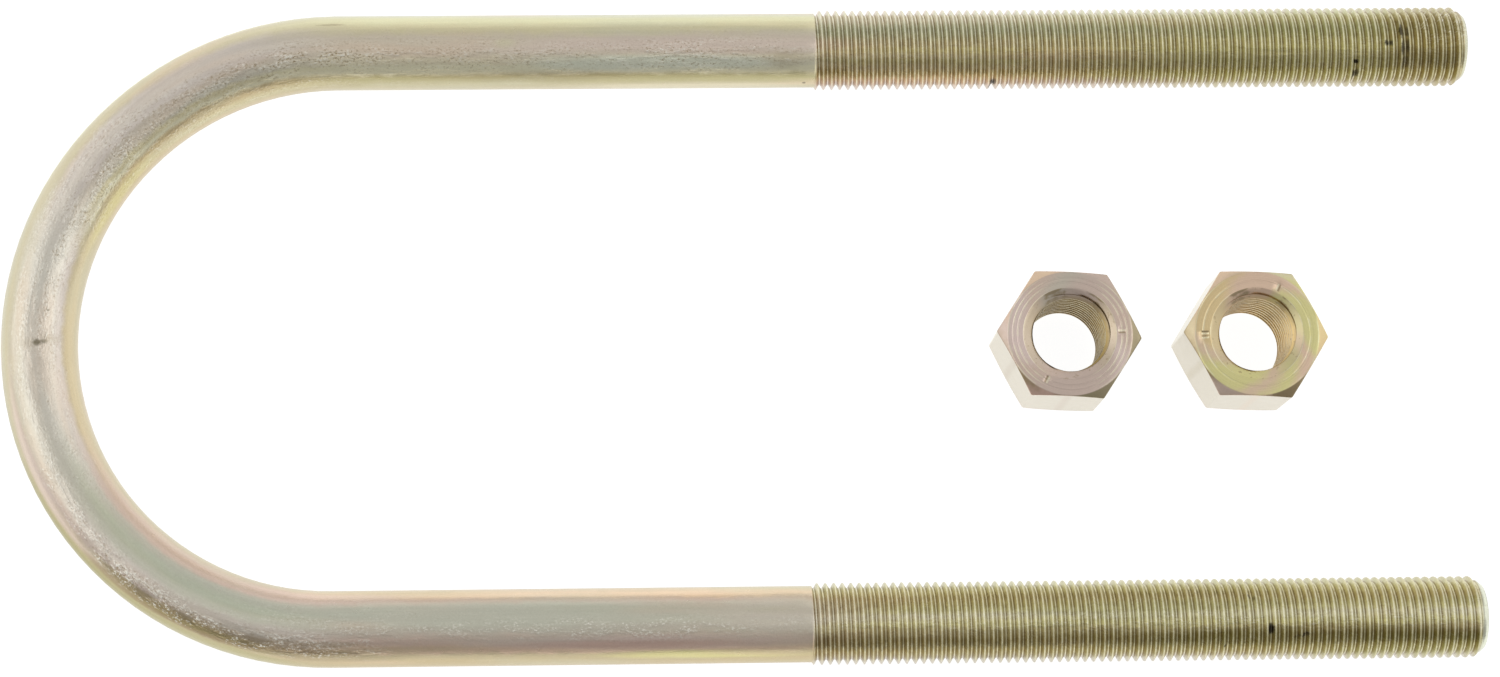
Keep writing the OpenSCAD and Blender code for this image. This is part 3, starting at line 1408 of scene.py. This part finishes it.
    def film(self, here: NutPlace, outside: Value) -> None:
        """Lays the patches of the film on the end faces and on their chamfers.

        Args:
            here: the place that is shaded.
            outside: share of what lies beyond the end face.
        """
        surface = here.surface
        turn = surface.math("FRACT", surface.math("ARCTAN2", here.y, here.x) / TURN + 1.0)
        long_waves = (here.noise(self.LONG_SCALE, FINE) - 0.5) * self.LONG_WAVES
        short_waves = (here.noise(self.SHORT_SCALE) - 0.5) * self.SHORT_WAVES
        lean = (here.radius - self.face_radius) * self.LEAN
        turn = surface.math("FRACT", turn + long_waves + short_waves + lean + 1.0)
        surface.colour = surface.ramp(turn, self.patches)
        surface.cover(outside, surface.ramp(turn, self.corners))

    def flats(self, here: NutPlace, outside: Value) -> None:
        """Paints a paler reflection on the six flats and a highlight, the palest, on one of them.

        Args:
            here: the place that is shaded.
            outside: share of what lies beyond the end face.
        """
        surface = here.surface
        drop = here.level - self.height / 2 + (here.radius - self.face_radius) * self.CHAMFER_SLOPE
        side = outside * drop.smooth(0.0, -self.FLAT_EDGE)
        # Painted reflection, paler, on the six flats
        surface.lay(side, self.FLAT_REFLECTION)
        # Painted highlight, the palest, on one flat
        out = here.toward(math.radians(self.LIT_FLAT) + self.start * TURN)
        lit = out.smooth(self.face_radius - self.FACE_EDGE, self.face_radius)
        surface.lay(lit * side, self.LIT)

    def lines(self, here: NutPlace, face: Value) -> None:
        """Paints highlights on the lines of the tool and on the edges of the end faces, to either side
        and in random patches.

        Args:
            here: the place that is shaded.
            face: share of the end face.
        """
        # Painted highlights on the lines and edges, to either side and in random patches
        highlit = (abs(here.x) / here.radius).smooth(*self.HIGHLIGHT_SIDES) * face
        highlit = highlit * here.noise(self.HIGHLIGHT_SCALE).smooth(*self.HIGHLIGHT_PATCHES)
        for line, half, _ in self.tool_lines:
            off = abs(here.radius - line) / half
            here.surface.lay(off.smooth(*self.HIGHLIGHT_REACH) * highlit, self.LINE_HIGHLIGHT)

    def stroke(self, here: NutPlace, mark: float) -> None:
        """Paints shade on one side of a pressed stroke and a highlight on the other.

        Args:
            here: the place that is shaded.
            mark: the stroke's angle, in radians from +X.
        """
        out = here.toward(mark)
        across = here.toward(mark + TURN / 4)
        side = self.STROKE_SIDE
        end = STROKE_END + STROKE_EDGE
        band = out.smooth(STROKE_START - side, STROKE_START)
        band = band * out.smooth(end, end - side)
        # Painted shade on one side of the stroke and a painted highlight on the other
        here.surface.lay(band * abs(across + side).smooth(*self.STROKE_FADE), self.SHADED)
        here.surface.lay(band * abs(across - side).smooth(*self.STROKE_FADE), self.PAINTED_HIGHLIGHT)

    def bore(self, here: NutPlace) -> None:
        """Darkens the bore, paints highlights on the lands of its thread and shade in its roots, paints
        shade on the countersinks to either side, darkens stretches of both, and lays dirt.

        Args:
            here: the place that is shaded.
        """
        surface = here.surface
        note = surface.value("ShaderNodeAttribute", output="Vector", attribute_name=BORE_PATH)
        along, around, radius = surface.parts(note)
        inside = surface.math("GREATER_THAN", radius, MM)
        low, high = (self.height / 2 - level for level in self.BORE_LEVELS)
        deep = abs(along - self.height / 2).smooth(low, high) * inside
        turn = surface.math("FRACT", around + self.start)
        aside = abs(surface.math("COSINE", turn * TURN)).smooth(*self.SHADED_SIDES)
        # Painted shade on the countersinks to either side
        surface.lay(inside * aside, self.SINK_SHADE)
        surface.cover(deep * self.BORE_SHARE, self.bore_tint)
        thread_light_and_shade = here.noise(self.THREAD_SCALE).smooth(*self.THREAD_LIGHT_AND_SHADE)
        thread_light_and_shade = deep * (self.LEAST_LIGHT_AND_SHADE + (1 - self.LEAST_LIGHT_AND_SHADE) * thread_light_and_shade)
        beyond = radius - self.bore_radius
        # Painted highlights on the lands of the thread and painted shade in its roots
        surface.lay(beyond.smooth(*self.LAND_REACH) * thread_light_and_shade, self.LAND_HIGHLIGHT)
        surface.lay(beyond.smooth(*self.ROOT_REACH) * thread_light_and_shade, self.ROOT)
        stretched = surface.vector(along, around * self.STREAK_STRETCH, radius)
        streaks = (surface.noise(stretched, self.STREAK_SCALE) - 0.5) * self.STREAK
        fray = (here.noise(self.FRAY_SCALE, FINE) - 0.5 + streaks) * self.ARC_WAVES
        darkened = inside * self.ARC_SHARE - deep * self.ARC_LESS
        for middle, half in self.DARK_ARCS:
            off = abs(turn - middle) + fray
            surface.cover(darkened * off.smooth(half, half * self.ARC_CORE), Tint.BARK)
        surface.lay(inside * here.noise(self.DIRT_SCALE).smooth(*self.DIRTY), self.DIRT)


@dataclass
class HexNut:
    """Tall hexagon nut that stands on one end face.

    Args:
        node: name of the plain nut that it replaces.
        mount: name of its bore in the record.
        slot: its finish in the record.
        patches: tints round its end faces.
        corners: tints round its chamfered corners.
        bore_tint: tint of its bore.
        tool_lines: lines that the tool left on its end faces, each by radius, half width and depth.
        strokes: columns that have a short stroke, counted from the first corner.
        turn: angle of its first corner from +X, in degrees.
        across_flats: width across flats.
        height: height.
        pitch: pitch of its thread.
        face_radius: radius of the flat end face.
        mouth_radius: radius of the mouth of the bore.
        sink_angle: slope of the countersinks from the end face, in degrees.
        chamfer_angle: slope of the outer chamfer, in degrees.
        corner_radius: rounding of the upright edges.
        phase: where the thread starts, in pitches.
        columns: steps round it, a multiple of 12.
    """

    node: str
    mount: str
    slot: str
    patches: Bands
    corners: Bands
    bore_tint: Tint
    tool_lines: Lines
    strokes: tuple[int, ...]
    turn: float
    across_flats: float = 18.6 * MM
    height: float = 13.5 * MM
    pitch: float = 1.25 * MM
    face_radius: float = 9.2 * MM
    mouth_radius: float = 6.9 * MM
    sink_angle: float = 30.0
    chamfer_angle: float = 30.0
    corner_radius: float = 0.3 * MM
    phase: float = 0.0
    columns: int = 96

    # How tightly the steps bunch towards the six corners
    BUNCHING = 1.72
    # Slack for rounding where a step lies right on a corner, in sixths of a turn
    SLACK = 0.001
    # Width of the small rounding on turned edges
    EDGE = 0.08 * MM
    # Rows beside a line of the tool, in its half widths from its middle
    LINE_ROWS = (-1.5, -1.0, 1.0, 1.5)
    # Rows of the outer chamfer, from the end face at 0 to the flats at 1, and of the flats
    CHAMFER_ROWS = (0.15, 0.50, 0.85)
    SIDE_ROWS = 6
    SIDES = 6
    SIXTH = TURN / SIDES

    def __post_init__(self) -> None:
        """Takes the place and the bore from the record."""
        found = [m for m in frame["record"]["mounts"] if m["name"] == self.mount]
        self.centre = tuple(found[0]["pos_m"][:2])
        self.bore_radius = found[0]["dims"]["r_mm"] * MM

    def build(self) -> bpy.types.Object:
        """Builds the body and grows the thread in it.

        Returns:
            The piece, which replaces the plain nut.
        """
        finish = NutFinish(
            self.slot + "_film", self.centre, self.height, self.face_radius, self.patches, self.corners,
            self.bore_tint, self.bore_radius, math.radians(self.turn) / TURN,
            self.tool_lines + self.highlit_edges, self.marks,
        ).build()
        graph = GeometryGraph(self.node + "_thread")
        body = Value(graph, graph.start.outputs["Geometry"])
        graph.finish(graph.join(body, self.thread(graph)), finish)
        piece = new_piece(self.node + "_turned", self.body())
        graph.grow(piece)
        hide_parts(self.node)
        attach(piece, "root")
        return piece

    @property
    def highlit_edges(self) -> Lines:
        """Radius, half width and depth of the edges of the end faces, where highlights are painted."""
        return ((self.mouth_radius, self.EDGE, 0.0), (self.face_radius - self.EDGE, self.EDGE, 0.0))

    @property
    def marks(self) -> tuple[float, ...]:
        """Angle of each stroke, in radians from +X."""
        angles = self.angles() + math.radians(self.turn)
        return tuple(float(angles[column]) for column in self.strokes)

    def thread(self, graph: GeometryGraph) -> Value:
        """Inner thread with its two countersinks.

        Args:
            graph: the tree.

        Returns:
            The mesh.
        """
        pitch = graph.size("Pitch", self.pitch)
        height = graph.size("Height", self.height)
        bore = graph.size("Bore Radius", self.bore_radius)
        mouth = graph.size("Mouth Radius", self.mouth_radius)
        slope = graph.size("Sink Slope", math.tan(math.radians(self.sink_angle)))
        phase = graph.size("Phase", self.phase)
        start = graph.size("First Corner", math.radians(self.turn) / TURN)
        middle_x = graph.size("Middle X", self.centre[0])
        middle_y = graph.size("Middle Y", self.centre[1])

        def bunch(turn: Value) -> Value:
            """Draws the steps towards the six corners.

            Args:
                turn: place round the nut, in even steps from the first corner.

            Returns:
                The same place once drawn.
            """
            sector = graph.math("FLOOR", turn * self.SIDES + self.SLACK)
            half = (turn * self.SIDES - sector) * 2 - 1
            gap = 1 - abs(half)
            pulled = 1 - graph.math("POWER", gap, self.BUNCHING)
            return (sector + (graph.math("SIGN", half) * pulled + 1) / 2) / self.SIDES

        mesh, along, turn, rise = INNER_THREAD.strip(graph, pitch, height, phase, self.columns, bunch)
        low_cone = mouth - along / slope
        high_cone = mouth - (height - along) / slope
        radius = graph.math("MAXIMUM", bore + rise, graph.math("MAXIMUM", low_cone, high_cone))
        angle = (turn + start) * TURN
        x = middle_x + radius * graph.math("COSINE", angle)
        y = middle_y + radius * graph.math("SINE", angle)
        note = graph.vector(along, turn, radius)
        return graph.flip(graph.place(mesh, graph.vector(x, y, along), BORE_PATH, note))

    def angles(self) -> np.ndarray:
        """Spreads the columns round the nut, bunched towards its corners.

        Returns:
            Angle of each column from the first corner, in radians.
        """
        turn = np.arange(self.columns) / self.columns * self.SIDES
        sector = np.floor(turn)
        half = (turn - sector) * 2 - 1
        pulled = 1 - (1 - np.abs(half)) ** self.BUNCHING
        return (sector + (np.sign(half) * pulled + 1) / 2) * self.SIXTH

    def outline(self, angles: np.ndarray) -> np.ndarray:
        """Distance from the axis to the hexagon with its corners rounded.

        Args:
            angles: angle of each column from the first corner.

        Returns:
            One radius for each column.
        """
        flat = self.across_flats / 2
        half = self.SIXTH / 2
        from_corner = np.abs((angles + half) % self.SIXTH - half)
        straight = flat / np.cos(half - from_corner)
        centre = (flat - self.corner_radius) / math.cos(half)
        reach = np.maximum(self.corner_radius ** 2 - (centre * np.sin(from_corner)) ** 2, 0)
        arc = centre * np.cos(from_corner) + np.sqrt(reach)
        touch = math.atan2(self.corner_radius * math.sin(half),
                           centre + self.corner_radius * math.cos(half))
        return np.where(from_corner < touch, arc, straight)

    def face_rows(self) -> list[tuple[float, float]]:
        """Lays out the rings of an end face, from the mouth of the bore outwards.

        Returns:
            Radius and drop of each ring.
        """
        rows = [(self.mouth_radius, 0.0), (self.mouth_radius + 2 * self.EDGE, 0.0)]
        for end in (STROKE_START, STROKE_END):
            rows += [(end - STROKE_EDGE, 0.0), (end + STROKE_EDGE, 0.0)]
        for radius, half, depth in self.tool_lines:
            rows.append((radius, depth))
            rows += [(radius + reach * half, 0.0) for reach in self.LINE_ROWS]
        rows += [(self.face_radius - 2 * self.EDGE, 0.0), (self.face_radius, self.EDGE / 4)]
        return sorted(rows)

    def stroked(self, radius: np.ndarray, z: np.ndarray) -> np.ndarray:
        """Presses the strokes into one ring of the upper face.

        Args:
            radius: radius of each of its points.
            z: height of each before.

        Returns:
            Height of each after.
        """
        pressed = z.copy()
        if STROKE_START < radius[0] < STROKE_END:
            pressed[list(self.strokes)] -= STROKE_DEPTH
        return pressed

    def body(self) -> bpy.types.Mesh:
        """Mesh of all but the bore: two end faces, two chamfers and six flats.

        Returns:
            The mesh, open where the thread goes.
        """
        angles = self.angles()
        outline = self.outline(angles)
        slope = math.tan(math.radians(self.chamfer_angle))
        same = np.ones(self.columns)
        upper = [(radius * same, (self.height - drop) * same) for radius, drop in self.face_rows()]
        for share in self.CHAMFER_ROWS:
            radius = self.face_radius + (outline - self.EDGE - self.face_radius) * share
            upper.append((radius, self.height - (radius - self.face_radius) * slope))
        inside = outline - self.EDGE / 2
        upper.append((inside, self.height - (inside - self.face_radius) * slope))
        brim = self.height - (outline - self.face_radius) * slope - self.EDGE / 2
        upper.append((outline, brim))
        upper.append((outline, brim - 2 * self.EDGE))
        lower = [(radius, self.height - z) for radius, z in reversed(upper)]
        top = upper[-1][1]
        bottom = lower[0][1]
        side = [(outline, top + (bottom - top) * step / self.SIDE_ROWS)
                for step in range(1, self.SIDE_ROWS)]
        rings = len(self.face_rows())
        upper[:rings] = [(radius, self.stroked(radius, z)) for radius, z in upper[:rings]]
        rows = upper + side + lower
        turned = angles + math.radians(self.turn)
        places = [np.stack((self.centre[0] + radius * np.cos(turned),
                            self.centre[1] + radius * np.sin(turned), z), axis=1)
                  for radius, z in rows]
        faces = []
        for row in range(len(rows) - 1):
            for column in range(self.columns):
                after = (column + 1) % self.columns
                here = row * self.columns
                below = here + self.columns
                faces.append((here + column, below + column, below + after, here + after))
        mesh = bpy.data.meshes.new(self.node)
        mesh.from_pydata(np.concatenate(places).tolist(), [], faces)
        return mesh


def new_piece(name: str, mesh: bpy.types.Mesh) -> bpy.types.Object:
    """Adds an object at the origin.

    Args:
        name: the object's name.
        mesh: its mesh, with its place in it.

    Returns:
        The object.
    """
    piece = bpy.data.objects.new(name, mesh)
    bpy.context.scene.collection.objects.link(piece)
    return piece


@dataclass(frozen=True)
class Panel:
    """One soft light of the studio, in shares of the unit sphere round the bolt.

    Args:
        x: its middle towards +X.
        y: its middle towards +Y.
        reach_x: distance from the middle at which it has faded out, along X.
        reach_y: the same along Y.
        light: how much light it adds.
    """

    x: float
    y: float
    reach_x: float
    reach_y: float
    light: float

    # Rise over the floor by which a panel has faded in
    RISE = (0.0, 0.25)

    def glow(self, graph: Graph, x: Value, y: Value, rise: Value) -> Value:
        """Finds the light that it adds in one direction.

        Args:
            graph: the tree of the sky.
            x: the direction's share of +X.
            y: its share of +Y.
            rise: its share of +Z.

        Returns:
            The light.
        """
        across = abs(x - self.x).smooth(self.reach_x, 0.0)
        deep = abs(y - self.y).smooth(self.reach_y, 0.0)
        return across * deep * rise.smooth(*self.RISE) * self.light


@dataclass(frozen=True)
class Studio:
    """Pale floor, soft light from all round and the camera.

    Args:
        floor_reach: half the side of the floor.
        floor_glow: light that the floor gives of itself, as a lit table does.
        floor_grey: how much light it returns.
        sensor: width of the camera's sensor, in Blender's millimetres.
        focal: its focal length, in the same.
        nearest: distance from which it sees things.
        eye: where it stands.
        tilt: how it is turned round X, Y and Z.
    """

    floor_reach: float = 3.0
    floor_glow: float = 0.94
    floor_grey: float = 0.22
    sensor: float = 36.0
    focal: float = 73.09
    nearest: float = 0.01
    eye: tuple[float, float, float] = (-0.011737, -0.083145, 0.453151)
    tilt: tuple[float, float, float] = (0.182303, -0.025867, -0.013524)

    WHITE = (1.0, 1.0, 1.0, 1.0)
    PANELS = (
        Panel(x=-0.74, y=0.06, reach_x=0.52, reach_y=0.72, light=0.80),
        Panel(x=0.66, y=0.08, reach_x=0.48, reach_y=0.66, light=0.80),
    )
    # Light from everywhere, what the back adds to it and what the front takes off
    OVERALL = 0.66
    BACK = 0.30
    FRONT = 0.25
    # Where the back fades in: by rise over the floor, and by distance towards +Y
    BACK_RISE = (0.50, 0.20)
    BACK_DEPTH = (-0.10, 0.50)
    # Where the front does: by rise, by distance towards +Y, and by distance to either side
    FRONT_RISE = (0.98, 0.66)
    FRONT_DEPTH = (0.05, -0.45)
    FRONT_SIDE = (1.0, 0.4)

    def build(self) -> None:
        """Makes everything that isn't the object."""
        self.floor()
        self.sky()
        self.camera()
        bpy.context.scene.view_settings.view_transform = "Standard"

    def floor(self) -> None:
        """Pale table that is lit from within, so that shadows on it stay faint."""
        material = bpy.data.materials.new("pale_table")
        material.use_nodes = True
        graph = Graph(material.node_tree)
        grey = self.floor_grey
        shader = graph.value("ShaderNodeBsdfPrincipled", {
            "Base Color": (grey, grey, grey, 1.0),
            "Roughness": 0.9,
            "Emission Color": self.WHITE,
            "Emission Strength": self.floor_glow,
        })
        graph.node("ShaderNodeOutputMaterial", {0: shader})
        reach = self.floor_reach
        mesh = bpy.data.meshes.new("floor")
        corners = [(-reach, -reach, 0), (reach, -reach, 0), (reach, reach, 0), (-reach, reach, 0)]
        mesh.from_pydata(corners, [], [(0, 1, 2, 3)])
        mesh.materials.append(material)
        new_piece("floor", mesh)

    def sky(self) -> None:
        """Soft light: a panel on each side, white low at the back, grey above, darker in front."""
        world = bpy.data.worlds.new("studio")
        bpy.context.scene.world = world
        world.use_nodes = True
        graph = Graph(world.node_tree)
        x, depth, rise = graph.parts(graph.value("ShaderNodeTexCoord", output="Generated"))
        back = rise.smooth(*self.BACK_RISE) * depth.smooth(*self.BACK_DEPTH)
        front = rise.smooth(*self.FRONT_RISE) * depth.smooth(*self.FRONT_DEPTH)
        front = front * abs(x).smooth(*self.FRONT_SIDE)
        light = self.OVERALL + back * self.BACK - front * self.FRONT
        for panel in self.PANELS:
            light = light + panel.glow(graph, x, depth, rise)
        shader = graph.value("ShaderNodeBackground", {"Color": self.WHITE, "Strength": light})
        graph.node("ShaderNodeOutputWorld", {0: shader})

    def camera(self) -> None:
        """Camera above the bolt, tipped a little towards the back."""
        lens = bpy.data.cameras.new("camera")
        lens.sensor_fit = "HORIZONTAL"
        lens.sensor_width = self.sensor
        lens.lens = self.focal
        lens.clip_start = self.nearest
        eye = bpy.data.objects.new("camera", lens)
        eye.location = self.eye
        eye.rotation_euler = self.tilt
        bpy.context.scene.collection.objects.link(eye)
        bpy.context.scene.camera = eye


# Tints of the nut nearer the bend, in turns from +X: its end faces, then its corners
LEFT_PATCHES = (
    (0.00, Tint.MAUVE), (0.14, Tint.DIM_ROSE), (0.24, Tint.ASH), (0.33, Tint.MAUVE),
    (0.42, Tint.PALE_ROSE), (0.50, Tint.PALE_ROSE), (0.58, Tint.MAUVE), (0.66, Tint.DIM_ROSE),
    (0.82, Tint.DIM_ROSE), (0.90, Tint.PALE_ROSE), (1.00, Tint.MAUVE),
)
LEFT_CORNERS = (
    (0.00, Tint.MOSS), (0.08, Tint.UMBER), (0.17, Tint.DIM_ROSE), (0.27, Tint.ROSE),
    (0.33, Tint.APRICOT), (0.42, Tint.ROSE), (0.50, Tint.DIM_ROSE), (0.62, Tint.BARK),
    (0.69, Tint.BLUSH), (0.80, Tint.MOSS), (1.00, Tint.MOSS),
)

# The same of the nut nearer the tips
RIGHT_PATCHES = (
    (0.00, Tint.LIME), (0.07, Tint.LIME), (0.13, Tint.ROSE), (0.26, Tint.ROSE), (0.33, Tint.GOLD),
    (0.47, Tint.GOLD), (0.52, Tint.PEACH), (0.58, Tint.LIME), (0.66, Tint.LIME), (0.73, Tint.PEACH),
    (0.80, Tint.LIME), (0.88, Tint.ROSE), (0.95, Tint.LIME), (1.00, Tint.LIME),
)
RIGHT_CORNERS = (
    (0.00, Tint.GOLD), (0.14, Tint.LIME), (0.20, Tint.OLIVE), (0.30, Tint.PEACH), (0.34, Tint.APRICOT),
    (0.42, Tint.PEACH), (0.50, Tint.TAN), (0.60, Tint.BARK), (0.68, Tint.MAUVE), (0.76, Tint.ROSE),
    (0.80, Tint.BARK), (0.86, Tint.BARK), (0.92, Tint.TAN), (1.00, Tint.GOLD),
)

# Lines of the tool on their faces: radius, half width and depth
LEFT_LINES = (
    (7.74 * MM, 0.11 * MM, 0.10 * MM),
    (8.46 * MM, 0.10 * MM, 0.09 * MM),
)
RIGHT_LINES = (
    (7.97 * MM, 0.12 * MM, 0.10 * MM),
)


def main() -> None:
    """Builds the bolt, its nuts and the studio, in that order."""
    report(BentRod().build())
    nuts = (
        HexNut("left_nut", "left_nut_bore", "left_nut_zinc", LEFT_PATCHES, LEFT_CORNERS, Tint.RUSSET,
               LEFT_LINES, strokes=(3, 67), turn=-3.3, phase=0.6),
        HexNut("right_nut", "right_nut_bore", "right_nut_zinc", RIGHT_PATCHES, RIGHT_CORNERS, Tint.AMBER,
               RIGHT_LINES, strokes=(19, 49, 51), turn=-2.5, phase=0.55),
    )
    for nut in nuts:
        report(nut.build())
    Studio().build()


def report(piece: bpy.types.Object) -> None:
    """Logs how much mesh a piece has."""
    triangles = sum(len(face.vertices) - 2 for face in piece.data.polygons)
    LOG.info("%s: %d vertices, %d triangles", piece.name, len(piece.data.vertices), triangles)


if __name__ == "__main__":
    logging.basicConfig(level=logging.INFO, format="%(name)s: %(message)s")
    main()
